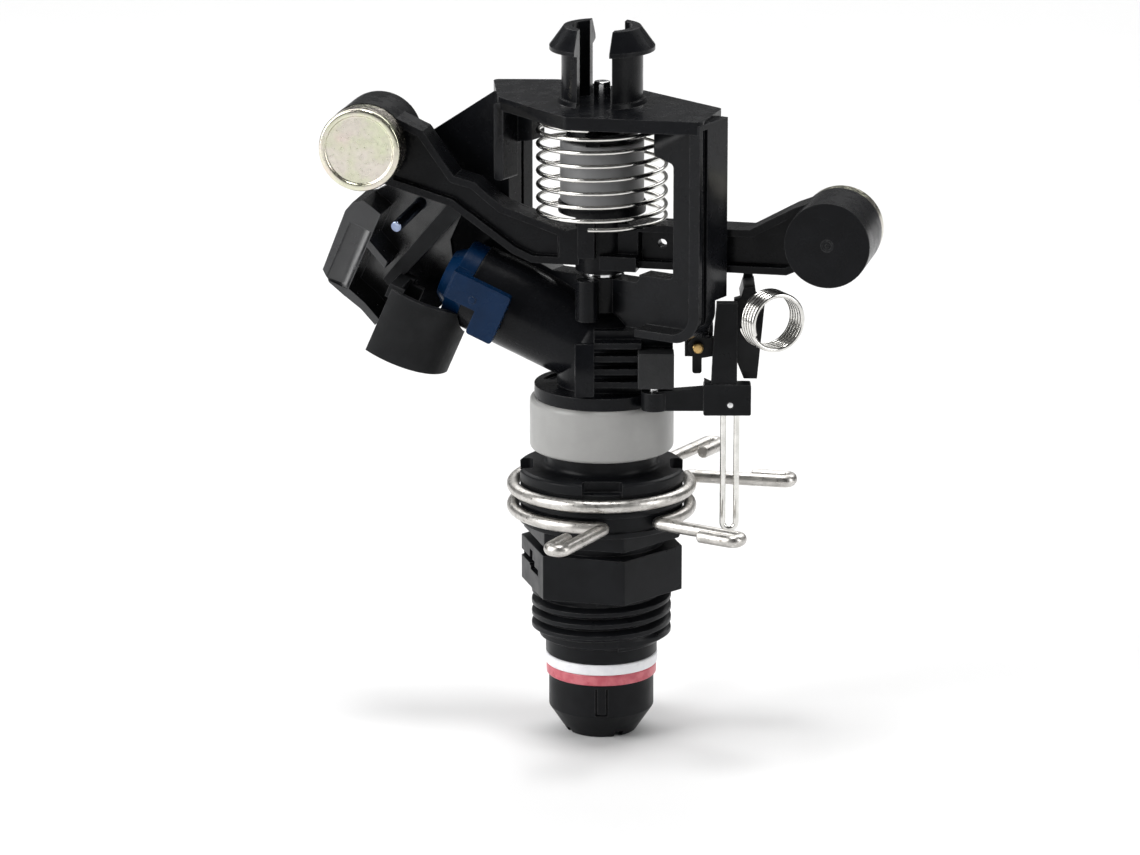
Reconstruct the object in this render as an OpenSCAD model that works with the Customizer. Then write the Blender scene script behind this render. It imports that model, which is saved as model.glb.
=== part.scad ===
// Part-circle impact sprinkler head on a half-inch threaded bearing.
// Z is the spin axis. Z = 0 is the hex's lower face, where the inlet thread starts.
// The barrel and the impact arm's jet end point along -X.

/* [Inlet] */
// Outside diameter of the inlet thread's crests
thread_d = 21.34; // [20.8:0.02:21.4]
// Thread pitch
thread_pitch = 1.814; // [1.6:0.002:1.9]
// Length of the threaded stretch
thread_len = 8; // [7:0.5:9]
// Width across the hex's flats
hex_flats = 21.9; // [21:0.1:22.4]
// Height of the hex
hex_h = 7; // [6:0.25:7.5]

/* [Trip collars] */
// Radius of the collar rings at the wire's centre
collar_r = 13.45; // [13.4:0.05:13.8]
// Radius of the collar wire
collar_wire_r = 0.97; // [0.8:0.01:1]
// Height of the lower collar
lower_collar_z = 12.6; // [12.5:0.05:12.7]
// Height of the upper collar
upper_collar_z = 15.9; // [15.8:0.05:16]

/* [Barrel] */
// Rise of the jet above the horizontal
barrel_rise = 23.6; // [20:0.2:26]
// Outside diameter of the barrel
barrel_d = 13.1; // [12.6:0.1:13.3]
// Length of the barrel from the spin axis to its mouth
barrel_len = 21.4; // [21:0.1:22]
// Diameter of the nozzle's jet hole
jet_d = 4.2; // [2.5:0.1:4.6]

/* [Bridge] */
// Top face of the bridge's plate
plate_z = 75; // [74.6:0.1:75.4]
// Thickness of the plate
plate_t = 2; // [1.6:0.1:2.2]
// Turn of the bridge's long direction from the barrel
bridge_turn = -19.7; // [-21:0.1:-18.5]

/* [Impact arm] */
// Thickness of the arm
arm_t = 5.2; // [4.6:0.1:5.4]
// Radius of the pivot pin
pivot_r = 1.25; // [1.1:0.05:1.4]
// Diameter of the end weights
weight_d = 12.8; // [12:0.1:13]
// Length of the end weights
weight_len = 13.5; // [12.5:0.1:14]

/* [Springs] */
// Coils in the arm spring
arm_coils = 8; // [6:1:9]
// Radius of the arm spring at the wire's centre
arm_spring_r = 9.6; // [9.2:0.1:9.8]
// Coils in the trip spring
trip_coils = 5; // [4:1:6]

/* [Hidden] */

$fn = 72;
fit = 0.05;
view_turn = 12.6;

// Heights, from the nose up
plain_len = 2.5;
washer_t = 1.7;
sleeve_z0 = -thread_len - plain_len;
white_z = sleeve_z0 - washer_t;
rubber_z = white_z - washer_t;
nose_len = 9.1;
nose_z = rubber_z - nose_len;
nose_cone_h = 4;

thread_r = thread_d / 2;
thread_root_r = 9.45;
plain_r = 8.5;
nipple_r = 6.5;
water_r = 4.6;
nose_r = 8;
nose_tip_r = 5.3;
hex_r = hex_flats / 2 / cos(30);
hex_turn = -2;
collar_hex_r = 12.35;

flange_r = 12.9;
groove_r = collar_r - collar_wire_r - 0.15;
groove_h = 2 * collar_wire_r + 0.4;
fold_gap = 2.35;
fold_back = 6;
flange_top_z = 19;
neck_r = 8.55;
neck_top_z = 22.6;
cover_z = 21.8;
cover_r = 10.9;
cover_draft = 0.2;
cover_h = 8;
cover_wall = 1.4;
disc_r = 10.2;
disc_z = cover_z + cover_h;
disc_h = 1.9;

barrel_z = 37.1;
barrel_r = barrel_d / 2;
barrel_bore_r = 5;
nozzle_seat_r = 5.6;
nozzle_rim_r = 6.3;
nozzle_clear_r = 6.9;
riser_r = barrel_r + 0.2;
pin_foot_z = 43.9;
pin_top_z = 78.1;
deck_z = 48.5;
arm_z = 50.4;
arm_top_z = 57;
hub_r = 4;

left_weight_at = [-35.8, 67.2];
right_weight_at = [35.4, 56.2];
deflector_r = 0.87;
bucket_r = 8.7;
bucket_z0 = -13.8;
bucket_z1 = -3.3;

// Trip mechanism, in a frame turned to face the open side of the bridge
lever_pin_at = [7.8, -9.7];
lever_t = 1.8;
lever_y = -10;
clevis_at = [19.1, 31.1];
loop_wire_r = 0.45;
loop_r = 1;
loop_bottom_z = 11.6;
trip_pivot_r = 0.5;
reverse_at = [14.3, 39.1];
reverse_y = -6.7;
reverse_t = 1.4;
trip_coil_at = [25.2, 44.4];
trip_coil_r = 4.2;
trip_coil_wire_r = 0.36;

function unit(v) = v / norm(v);
function polar(r, a, z) = [r * cos(a), r * sin(a), z];

// A path with each inner corner rounded over the distance r, in n steps
function rounded(p, r, n = 4) = concat([p[0]],
    [for (i = [1:len(p) - 2])
        let (a = p[i] + unit(p[i - 1] - p[i]) * r, b = p[i] + unit(p[i + 1] - p[i]) * r)
        for (k = [0:n])
            let (t = k / n)
            (1 - t) * (1 - t) * a + 2 * t * (1 - t) * p[i] + t * t * b],
    [p[len(p) - 1]]);

// A leg that runs from the ring's end to tip and folds back beside itself
function hook(start, tip, side, gap, back) =
    let (d = unit(tip - start), s = side * [-d[1], d[0], 0])
    [start, tip, tip + s * gap, tip + s * gap - d * back];

function ring_points(r, z, a0, a1, step) =
    [for (a = [a0:step:a1]) polar(r, a, z)];

function helix(r, z0, z1, turns, a0, steps) =
    [for (i = [0:steps * turns])
        polar(r, a0 + 360 * i / steps, z0 + (z1 - z0) * i / (steps * turns))];

// Round wire of radius r along a path that never runs straight up
module wire(p, r, sides) {
    n = len(p);
    pts = [for (i = [0:n - 1])
        let (t = unit(p[min(i + 1, n - 1)] - p[max(i - 1, 0)]),
            s = unit(cross(t, [0, 0, 1])), w = cross(s, t))
        for (k = [0:sides - 1])
            p[i] + r * (cos(360 * k / sides) * s + sin(360 * k / sides) * w)];
    skin = [for (i = [0:n - 2]) for (k = [0:sides - 1])
        let (a = i * sides + k, b = i * sides + (k + 1) % sides)
        [a, b, b + sides, a + sides]];
    polyhedron(pts, concat(skin, [[for (k = [sides - 1:-1:0]) k]],
        [[for (k = [0:sides - 1]) (n - 1) * sides + k]]));
}

module ring(r_out, r_in, z0, h) {
    translate([0, 0, z0]) difference() {
        cylinder(r = r_out, h = h);
        translate([0, 0, -1]) cylinder(r = r_in, h = h + 2);
    }
}

// Local X runs out along the barrel, local Z is up from it, local Y is -Y
module on_barrel() {
    translate([0, 0, barrel_z]) rotate([0, 0, 180]) rotate([0, -barrel_rise, 0]) children();
}

module on_bridge() {
    rotate([0, 0, bridge_turn]) children();
}

module on_trip() {
    rotate([0, 0, view_turn]) children();
}

// A flat outline drawn in X and Z, from y0 to y1
module upright(y0, y1) {
    translate([0, y1, 0]) rotate([90, 0, 0]) linear_extrude(y1 - y0) children();
}

module rounded_box(x0, x1, z0, z1, r) {
    translate([x0 + r, z0 + r]) offset(r) square([x1 - x0 - 2 * r, z1 - z0 - 2 * r]);
}

// ---- threaded bearing ----

module thread_outline() {
    land = 0.3;
    slope = 0.62;
    polygon([[0, -slope - land], [thread_root_r, -slope - land], [thread_r, -land],
        [thread_r, land], [thread_root_r, slope + land], [0, slope + land]]);
}

module flange_outline() {
    notch_w = 6;
    notch_r = 10.4;
    corner = 0.8;
    difference() {
        circle(r = flange_r - 0.2);
        for (a = [0:90:270]) rotate(a + view_turn) translate([notch_r + notch_w / 2, 0])
            offset(corner) square(notch_w - 2 * corner, center = true);
    }
}

module bearing_sleeve() {
    crests = floor((thread_len - 0.45) / thread_pitch);
    skirt_z = lower_collar_z - groove_h / 2;
    slots = [[-6.6, 1.4, 3.7], [-0.8, 3.4, 2.9]];
    color([0.1, 0.1, 0.11]) difference() {
        union() {
            translate([0, 0, sleeve_z0]) cylinder(r = plain_r, h = plain_len + 0.5);
            translate([0, 0, -thread_len]) cylinder(r = thread_root_r, h = thread_len + 1);
            for (i = [0:crests]) translate([0, 0, -0.15 - i * thread_pitch])
                rotate_extrude() thread_outline();
            rotate(hex_turn) cylinder(r = hex_r, h = hex_h, $fn = 6);
            cylinder(r = 9.6, h = flange_top_z);
            translate([0, 0, hex_h + 1.2]) rotate(hex_turn)
                cylinder(r = collar_hex_r, h = skirt_z - hex_h - 1.2, $fn = 6);
            translate([0, 0, skirt_z - 1]) cylinder(r = flange_r - 0.2, h = 1);
            translate([0, 0, skirt_z - 0.5])
                cylinder(r = groove_r, h = upper_collar_z + groove_h / 2 + 0.6 - skirt_z);
            translate([0, 0, lower_collar_z + groove_h / 2])
                cylinder(r = flange_r, h = upper_collar_z - lower_collar_z - groove_h);
            translate([0, 0, upper_collar_z + groove_h / 2])
                linear_extrude(flange_top_z - upper_collar_z - groove_h / 2) flange_outline();
            cylinder(r = neck_r, h = neck_top_z);
        }
        translate([0, 0, sleeve_z0 - 1]) cylinder(r = nipple_r + 0.08, h = 60);
        for (a = [0, 180], s = slots) rotate(a + hex_turn - 60) translate([s[0], -14, s[2]])
            cube([s[1] - s[0], 4.5, 1]);
    }
}

module white_washer() {
    color("white") ring(8.6, nipple_r + 0.08, white_z, washer_t);
}

module rubber_washer() {
    color([0.74, 0.35, 0.39]) ring(8.4, nipple_r + 0.08, rubber_z, washer_t);
}

module nose_retainer() {
    slot_w = 0.6;
    seat_z = nose_z + nose_cone_h;
    top_z = nose_z + nose_len;
    color([0.1, 0.1, 0.11]) difference() {
        rotate_extrude() polygon([[water_r, nose_z], [nose_tip_r, nose_z], [nose_r, seat_z],
            [nose_r, top_z], [nipple_r + fit, top_z], [nipple_r + fit, seat_z],
            [water_r, seat_z]]);
        for (a = [0:90:270]) rotate(a + view_turn) {
            for (s = [-1.1, 0.5]) translate([nose_r - 0.5, s, seat_z + 0.5])
                cube([2, slot_w, 3.4]);
            rotate(28) translate([water_r - 1, -0.7, nose_z - 1]) cube([4, 1.4, 1.9]);
        }
    }
}

module bearing_nipple() {
    z0 = nose_z + nose_cone_h;
    color([0.12, 0.12, 0.13]) ring(nipple_r, water_r, z0, disc_z + 1 - z0);
}

module bearing_spring() {
    color("silver") wire(helix(7.55, neck_top_z + 0.42, disc_z - cover_wall - 0.42, 4, 0, 18),
        0.4, 6);
}

module bearing_cover() {
    edge = 1.2;
    top_r = cover_r - cover_draft;
    color([0.64, 0.64, 0.63]) difference() {
        rotate_extrude() translate([0, cover_z]) {
            polygon([[0, 0], [cover_r - edge, 0], [cover_r, edge], [top_r, cover_h - edge],
                [top_r - edge, cover_h], [0, cover_h]]);
            translate([cover_r - edge, edge]) circle(edge);
            translate([top_r - edge, cover_h - edge]) circle(edge);
        }
        translate([0, 0, cover_z - 1]) cylinder(r = cover_r - cover_wall, h = cover_h - cover_wall + 1);
        translate([0, 0, cover_z]) cylinder(r = nipple_r + fit, h = cover_h + 1);
    }
}

// ---- trip collars ----

// One wire: a folded leg, the ring from a_start to a_end, and the other folded leg
module collar_wire(z, a_start, a_end, tip_start, tip_end, folds) {
    step = 8;
    trim = 10;
    first = hook(polar(collar_r, a_start, z), tip_start, folds[0], fold_gap, fold_back);
    last = hook(polar(collar_r, a_end, z), tip_end, folds[1], fold_gap, fold_back);
    arc = ring_points(collar_r, z, a_start + trim, a_end - trim, step);
    start_leg = rounded([first[3], first[2], first[1], first[0], arc[0]], 1.15);
    end_leg = rounded([arc[len(arc) - 1], last[0], last[1], last[2], last[3]], 1.15);
    color([0.69, 0.68, 0.65]) wire(concat(start_leg, [for (i = [1:len(arc) - 2]) arc[i]], end_leg),
        collar_wire_r, 10);
}

module upper_trip_collar() {
    collar_wire(upper_collar_z, 62.6, 390.4, [11.3, 26.9, upper_collar_z],
        [27.7, 6.9, upper_collar_z], [-1, 1]);
}

module lower_trip_collar() {
    collar_wire(lower_collar_z, -40.4, 284.6, [24.5, -13.8, lower_collar_z],
        [-0.3, -26.2, lower_collar_z], [-1, -1]);
}

// ---- rotating body: waterway, barrel and bridge ----

module plate_outline() {
    offset(1) polygon([[-21.3, 4.9], [-14.4, -4.6], [1.4, -11.6], [19.2, -4.5],
        [16.9, 4.3], [0.3, 9.4], [-14, 9.3]]);
}

module window_outline() {
    offset(0.8) polygon([[-14.7, 51.9], [-7.6, deck_z + 0.8], [6.8, deck_z + 0.8], [6.8, 50.5],
        [12.7, 50.5], [12.7, 66.6], [9.3, 67.6], [9.3, 76], [-10.5, 76], [-10.5, 67.4],
        [-14.7, 66.6]]);
}

module web_outline() {
    difference() {
        polygon([[-18.2, plate_z - 0.2], [-31.4, 66.2], [-31.4, 58], [-29.6, 47], [-24, 41],
            [-7, 39.5], [8, 41.5], [18.6, 41.5], [18.6, plate_z - 0.2]]);
        window_outline();
    }
}

module rim_outline() {
    difference() {
        rounded_box(2, 20.2, 41.1, plate_z + 6, 4.5);
        rounded_box(0, 18.4, 42.3, plate_z + 8, 3.2);
        translate([-5, plate_z - 0.6]) square([40, 20]);
        translate([-5, 30]) square([14, 20]);
    }
}

module prong_outline() {
    polygon([[4, plate_z - 1], [6.1, plate_z - 1], [6.1, 82.6], [7.9, 83], [7.9, 83.6],
        [5.8, 86.5], [4, 86.5]]);
}

module snap_prongs() {
    slot_w = 5.3;
    difference() {
        union() {
            rotate_extrude() prong_outline();
            translate([0, 0, plate_z - 1]) cylinder(r1 = 7.2, r2 = 6.4, h = 1.7);
        }
        translate([0, 0, plate_z]) cylinder(r = 4.5, h = 20);
        translate([-slot_w / 2, -10, plate_z]) cube([slot_w, 20, 20]);
    }
}

module body_shelves() {
    shelf_t = 0.9;
    on_trip() {
        for (z = [33.2:2:39.2]) translate([-1.2, -9.3, z]) cube([7, 8, shelf_t]);
        translate([-1.2, -6.8, disc_z]) cube([11.8, 6.5, 11.6]);
        translate([5.4, -11.4, 33.6]) cube([5.2, 6, 5.4]);
        translate([-2.2, -5, 42.6]) cylinder(r = 1.7, h = 6.2);
        translate([-3.9, -5, 42.8]) cube([3.4, 5, 5.6]);
        translate([12.4, -9.5, 41.1]) cube([4.2, 5.2, 1.2]);
        translate([12.4, -5.7, 37.2]) cube([4.2, 1.4, 4.6]);
    }
}

module bridge_body() {
    color([0.09, 0.09, 0.1]) difference() {
        union() {
            translate([0, 0, disc_z]) cylinder(r = disc_r, h = disc_h);
            translate([0, 0, disc_z]) cylinder(r = riser_r, h = barrel_z - disc_z);
            translate([0, 0, barrel_z]) sphere(r = riser_r + 0.3);
            on_barrel() rotate([0, 90, 0]) cylinder(r = barrel_r, h = barrel_len);
            translate([0, 0, barrel_z]) cylinder(r = 3.4, h = deck_z - barrel_z);
            body_shelves();
            on_bridge() {
                translate([0, 0, plate_z - plate_t]) linear_extrude(plate_t) plate_outline();
                upright(-1.7, 1.7) web_outline();
                upright(-5.3, 2.7) rim_outline();
                upright(3.2, 5.7) rounded_box(-18.3, -16, 50, plate_z - 1, 0.8);
                upright(0, 5) rounded_box(-18.3, -16.4, 46, 54, 0.8);
                upright(-5.7, -1.7) rounded_box(-15.6, -13.9, 62.2, plate_z - 1, 0.5);
            }
            snap_prongs();
        }
        translate([0, 0, disc_z - 1]) cylinder(r = nipple_r + fit, h = 2 + fit);
        translate([0, 0, disc_z]) cylinder(r = water_r, h = barrel_z - disc_z);
        translate([0, 0, barrel_z]) sphere(r = barrel_bore_r + 0.3);
        on_barrel() rotate([0, 90, 0]) cylinder(r = barrel_bore_r, h = barrel_len + 5);
        on_barrel() translate([barrel_len - 7, 0, 0]) rotate([0, 90, 0])
            cylinder(r = nozzle_seat_r, h = 12);
        on_barrel() translate([barrel_len, 0, 0]) rotate([0, 90, 0])
            cylinder(r = nozzle_clear_r, h = 9);
        translate([0, 0, pin_foot_z]) cylinder(r = pivot_r + 0.02, h = 60);
        on_bridge() upright(-4.5, -3.1) rounded_box(19.6, 22, 44, 73.6, 0.3);
        translate([0, 0, disc_z + disc_h - 0.6]) difference() {
            cylinder(r = disc_r - 1.1, h = 2);
            translate([0, 0, -1]) cylinder(r = riser_r + 0.6, h = 4);
            translate([-20, -20, -1]) cube([40, 20, 4]);
        }
        on_trip() translate([lever_pin_at[0], lever_pin_at[1], 32]) cylinder(r = 0.82, h = 6.3);
        on_trip() translate([15.9, lever_y - 1.3, 32]) cube([4.9, 4.9, 15.2]);
        on_trip() translate([reverse_at[0], -4, reverse_at[1]]) rotate([90, 0, 0])
            cylinder(r = 0.72, h = 3);
    }
}

module latch_strap() {
    strap_w = 2.9;
    color([0.1, 0.1, 0.11]) on_trip() translate([-1.2, 0, 0]) rotate([90, 0, -90])
        linear_extrude(strap_w) difference() {
            translate([2.4, 35.6]) circle(r = 8.9);
            translate([2.4, 35.6]) circle(r = 8);
            translate([-10, 20]) square([19.4, 30]);
            translate([0, 20]) square([20, 12.1]);
            translate([0, 40.2]) square([20, 12]);
        }
}

module nozzle() {
    tab_y = 6.9;
    color([0.12, 0.29, 0.47]) on_barrel() difference() {
        union() {
            translate([barrel_len - 7, 0, 0]) rotate([0, 90, 0]) cylinder(r = 5.5, h = 7.5);
            translate([barrel_len + 0.1, 0, 0]) rotate([0, 90, 0])
                cylinder(r = nozzle_rim_r, h = 2.7);
            translate([barrel_len + 2.5, 0, 0]) rotate([0, 90, 0])
                cylinder(r1 = 5.2, r2 = 3.6, h = 2.2);
            translate([0, tab_y, 0]) upright(0, 1.6)
                offset(0.5) polygon([[15.2, -4.1], [18.4, -4.1], [18.4, -0.4], [23.4, -0.4],
                    [23.4, 2.9], [15.2, 2.9]]);
            translate([barrel_len + 0.1, 2, -0.9]) cube([2.7, 6.4, 4.3]);
        }
        rotate([0, 90, 0]) cylinder(d = jet_d, h = 60);
        translate([barrel_len - 8, 0, 0]) rotate([0, 90, 0]) cylinder(r1 = 4.6, r2 = jet_d / 2, h = 8);
    }
}

module nozzle_seal() {
    color([0.05, 0.05, 0.05]) on_barrel() translate([barrel_len - 8.2, 0, 0]) rotate([0, 90, 0])
        difference() {
            cylinder(r = 4.95, h = 1.1);
            translate([0, 0, -1]) cylinder(r = 3.9, h = 4);
        }
}

module fulcrum_pin() {
    color("silver") translate([0, 0, pin_foot_z]) cylinder(r = pivot_r, h = pin_top_z - pin_foot_z);
}

module pivot_washer() {
    color("silver") ring(3, pivot_r + fit, deck_z, 0.7);
}

// ---- impact arm ----

module arm_outline() {
    polygon([[-10.3, arm_z - 0.1], [-13.3, 51.6], [-22.9, 58.4], [-33, 61.3], [-31, 71.5],
        [-27, 69.7], [-22.2, 63], [-19, 62.2], [-17.5, 60.9], [-14.8, 58.8],
        [-5, arm_top_z - 1.5], [0, arm_top_z], [23, arm_top_z], [29.5, 60.6], [33, 62],
        [31, 51.5], [28.6, arm_z]]);
}

module weight_cup(at, y0, y1) {
    upright(y0, y1) translate(at) circle(d = weight_d);
}

module impact_arm() {
    rib = 1.1;
    panel = 1.3;
    slug = weight_d / 2 - 1;
    color([0.09, 0.09, 0.1]) difference() {
        union() {
            upright(-arm_t / 2, arm_t / 2) arm_outline();
            translate([0, 0, deck_z + 0.8]) cylinder(r = hub_r, h = 10);
            translate([0, 0, 58.4]) cylinder(r = 6.6, h = 1.5);
            weight_cup(left_weight_at, -2.6, weight_len / 2);
            weight_cup(right_weight_at, -weight_len / 2, 4.1);
            translate([-2.6, -5.4, 52]) cube([2.6, 3, 6.8]);
            translate([0.6, -4.8, 50.2]) cube([5.6, 3, 2.2]);
        }
        for (y = [-arm_t / 2 - 1, arm_t / 2 - panel]) difference() {
            upright(y, y + 1 + panel) offset(-rib) arm_outline();
            translate([0, 0, 40]) cylinder(r = 6.6, h = 30);
        }
        upright(-3, weight_len / 2 - 1.4) translate(left_weight_at) circle(r = slug);
        upright(1.4 - weight_len / 2, 5) translate(right_weight_at) circle(r = slug);
        translate([0, 0, 40]) cylinder(r = pivot_r + fit, h = 30);
        upright(-5, 5) translate([9.5, 54]) circle(r = 0.7);
    }
}

// Steel slug with a rounded head that stands out of its cup
module weight_slug(at, head_y, side, head_len) {
    rim = 0.9;
    r = weight_d / 2 - 0.1;
    translate([at[0], head_y, at[1]]) rotate([side * 90, 0, 0]) {
        rotate_extrude() union() {
            square([r, head_len - rim]);
            square([r - rim, head_len]);
            intersection() {
                translate([r - rim, head_len - rim]) circle(rim);
                square([r, head_len]);
            }
        }
        translate([0, 0, 0.5 - weight_len + head_len + 1.4])
            cylinder(r = weight_d / 2 - 1 - fit, h = weight_len - head_len - 1.4);
    }
}

module left_weight() {
    head = weight_len / 2 - 2.6;
    color([0.86, 0.86, 0.72]) weight_slug(left_weight_at, -2.6, 1, head);
}

module right_weight() {
    head = weight_len / 2 - 4.1;
    color([0.86, 0.86, 0.72]) weight_slug(right_weight_at, 4.1, -1, head);
}

// Scoop that turns the jet aside, with the plate that fixes it to the arm's back
module drive_spoon() {
    front = 4.4;
    back = -2.6;
    plate = 1.3;
    color([0.16, 0.16, 0.17]) on_barrel() difference() {
        union() {
            upright(back - plate, front) polygon([[38.3, -9.2], [38.3, 5], [41.5, 5.8],
                [43, 4.7], [43.5, 3.1], [43.1, -6.9], [41.4, -8.3]]);
            upright(back - plate, front) polygon([[39, -7.6], [39, -9], [35.3, -9.9],
                [32.4, -11.2], [31.9, -10.2], [35.2, -8.7]]);
            upright(back - plate, front) polygon([[39, 0.8], [39, -0.3], [34.5, -2.4],
                [34.5, -1.3]]);
            upright(back - plate, back) polygon([[28, 9.5], [38.5, 9.5],
                [41.2, 6.2], [43, 3.2], [42.6, -6.9], [41.2, -8], [35.3, -9.6], [32.2, -10],
                [28, -9.5], [26, -8], [25.2, -6], [25.2, -4.6], [26.5, -4.2], [26.5, 1.5],
                [28, 4]]);
        }
        translate([40.3, front + 2.2, -8]) cylinder(r = 2.9, h = 9.8);
        on_deflector() cylinder(r = deflector_r + fit, h = 8, center = true);
    }
}

// Local Z runs out along the deflector pin, from the inner face of the scoop's back plate
module on_deflector() {
    translate([34.4, -2.6, 7.1]) rotate([-104.6, 0, -5.2]) children();
}

// Block of the cup's plan, inset from its outside
module bucket_block(inset, z0, z1) {
    intersection() {
        translate([28.5, 1, z0]) cylinder(r = bucket_r - inset, h = z1 - z0);
        translate([15, 1.6 + inset, z0 - 1]) cube([16.6 - inset, 12, z1 - z0 + 2]);
    }
}

// D-shaped cup, open at the top, hung from the arm by a slanted bar
module splash_bucket() {
    wall = 1.2;
    color([0.14, 0.14, 0.15]) {
        on_barrel() difference() {
            union() {
                bucket_block(0, bucket_z0, bucket_z1);
                translate([29.8, 0.6, bucket_z1 - 1.5]) cube([2.4, 8.4, 2.2]);
            }
            bucket_block(wall, bucket_z0 + wall, bucket_z1 + 5);
            translate([10, 0, 0]) rotate([0, 90, 0]) cylinder(r = nozzle_clear_r, h = 18);
        }
        upright(-2.4, -0.6) polygon([[-21.2, 57.19], [-30.7, 46.6], [-30.7, 45.1],
            [-32.1, 45.1], [-33.4, 46.6], [-23.4, 58.5], [-22.9, 58.4]]);
    }
}

// Bright pin across the scoop, leaning a little down towards its free end
module deflector_pin() {
    color([0.35, 0.4, 0.5]) on_barrel() on_deflector() translate([0, 0, -1])
        cylinder(r = deflector_r, h = 10.1);
}

module arm_bearing() {
    color([0.45, 0.45, 0.46]) difference() {
        translate([0, 0, 60]) cylinder(r = 6.3, h = 9.4);
        translate([0, 0, 50]) cylinder(r = pivot_r + fit, h = 30);
    }
}

module bearing_cap() {
    color([0.1, 0.1, 0.11]) difference() {
        union() {
            translate([0, 0, 69.4]) cylinder(r = 5.4, h = 1.5);
            translate([0, 0, 70.9]) cylinder(r = 2.6, h = 1.7);
            rotate(view_turn) translate([-2.5, -6.8, 69.4]) cube([2.2, 3, 1.4]);
        }
        translate([0, 0, 60]) cylinder(r = pivot_r + fit, h = 30);
    }
}

module arm_spring() {
    color("silver") wire(helix(arm_spring_r, 57.4, 72.5, arm_coils, -90, 24), 0.33, 6);
}

// ---- trip mechanism ----

module trip_lever() {
    y0 = lever_y - lever_t / 2;
    y1 = lever_y + lever_t / 2;
    ear_y = 1.35;
    color([0.1, 0.1, 0.11]) on_trip() difference() {
        union() {
            upright(y0, y1) polygon([[6.4, 30.1], [16, 30.1], [17, 32.6], [17, 34], [15.2, 34.8],
                [15.2, 33.6], [6.4, 32.9]]);
            translate([lever_pin_at[0], lever_pin_at[1], 30.1]) cylinder(r = 2, h = 2.8);
            upright(y0, y1) polygon([[16.2, 33.4], [20.1, 33.4], [20.1, 46.6], [17, 46.6],
                [16.5, 40]]);
            upright(lever_y - ear_y, lever_y + ear_y) rounded_box(15.1, 22.2, 29.5, 34.2, 0.3);
        }
        upright(lever_y - 0.6, lever_y + 0.6) polygon([[17.2, 28], [23, 28], [23, 33.2],
            [17.2, 33.2]]);
        upright(-20, 0) translate(clevis_at) circle(r = trip_pivot_r + 0.02);
        translate([lever_pin_at[0], lever_pin_at[1], 29]) cylinder(r = 0.85, h = 6);
    }
}

module lever_pin() {
    color("silver") on_trip() translate([lever_pin_at[0], lever_pin_at[1], 30.2])
        cylinder(r = 0.8, h = 8);
}

module trip_pivot() {
    color("silver") on_trip() upright(lever_y - 1.3, lever_y + 1.3)
        translate(clevis_at) circle(r = trip_pivot_r);
}

module trip_pin() {
    color("silver") on_trip() {
        for (s = [-1, 1]) translate([clevis_at[0] + s * loop_r, lever_y, loop_bottom_z + loop_r])
            cylinder(r = loop_wire_r, h = clevis_at[1] - loop_bottom_z - loop_r, $fn = 24);
        for (z = [clevis_at[1], loop_bottom_z + loop_r])
            translate([clevis_at[0], lever_y, z]) rotate([90, 0, 0])
                rotate_extrude(angle = 180, start = z == clevis_at[1] ? 0 : 180)
                    translate([loop_r, 0]) circle(r = loop_wire_r, $fn = 24);
    }
}

module reversing_lever() {
    y0 = reverse_y - reverse_t / 2;
    y1 = reverse_y + reverse_t / 2;
    color([0.3, 0.3, 0.31]) on_trip() difference() {
        union() {
            upright(y0, y1) polygon([[13.2, 37.9], [14.6, 37.3], [19.6, 38.2], [21.2, 34.2],
                [23.2, 34.2], [24.3, 46.2], [22.8, 47.4], [19.7, 46.4], [19.4, 40.4],
                [14.6, 40.5], [13.2, 40]]);
            upright(y0, y1) translate(reverse_at) circle(r = 1.5);
            upright(y0, y1) rounded_box(13.5, 14.9, 35, 38.4, 0.4);
            upright(y0, -0.6) polygon([[20.6, 46.4], [23, 46.9], [22.8, 48.5], [21.1, 48.3]]);
            upright(-1.5, -0.6) polygon([[21.1, 48], [22.8, 48], [22.4, 49.9], [21.4, 49.9]]);
        }
        upright(-20, 0) translate(reverse_at) circle(r = 0.75);
    }
}

module reversing_pin() {
    color([0.75, 0.6, 0.3]) on_trip() {
        upright(-8.2, -4.4) translate(reverse_at) circle(r = 0.7);
        upright(-8.6, -7.7) translate(reverse_at) circle(r = 1.1);
    }
}

module trip_spring() {
    pitch = 2 * trip_coil_wire_r + 0.08;
    len = trip_coils * pitch;
    color("silver") on_trip() translate([trip_coil_at[0], -10.2, trip_coil_at[1]])
        rotate([90, 0, 0]) wire(helix(trip_coil_r, 0, len, trip_coils, 200, 24),
            trip_coil_wire_r, 6);
}

bearing_sleeve();
white_washer();
rubber_washer();
nose_retainer();
bearing_nipple();
bearing_spring();
bearing_cover();
upper_trip_collar();
lower_trip_collar();
bridge_body();
latch_strap();
nozzle();
nozzle_seal();
fulcrum_pin();
pivot_washer();
impact_arm();
arm_bearing();
bearing_cap();
arm_spring();
left_weight();
right_weight();
drive_spoon();
splash_bucket();
deflector_pin();
trip_lever();
lever_pin();
trip_pin();
trip_pivot();
reversing_lever();
reversing_pin();
trip_spring();
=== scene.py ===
"""Visual model of an impact sprinkler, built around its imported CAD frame.

Lengths inside the builders are millimetres. Every mesh is scaled to metres when it becomes an object.
"""
from math import cos, pi, radians, sin, tan

import bmesh
import bpy
from mathutils import Matrix, Vector


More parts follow.
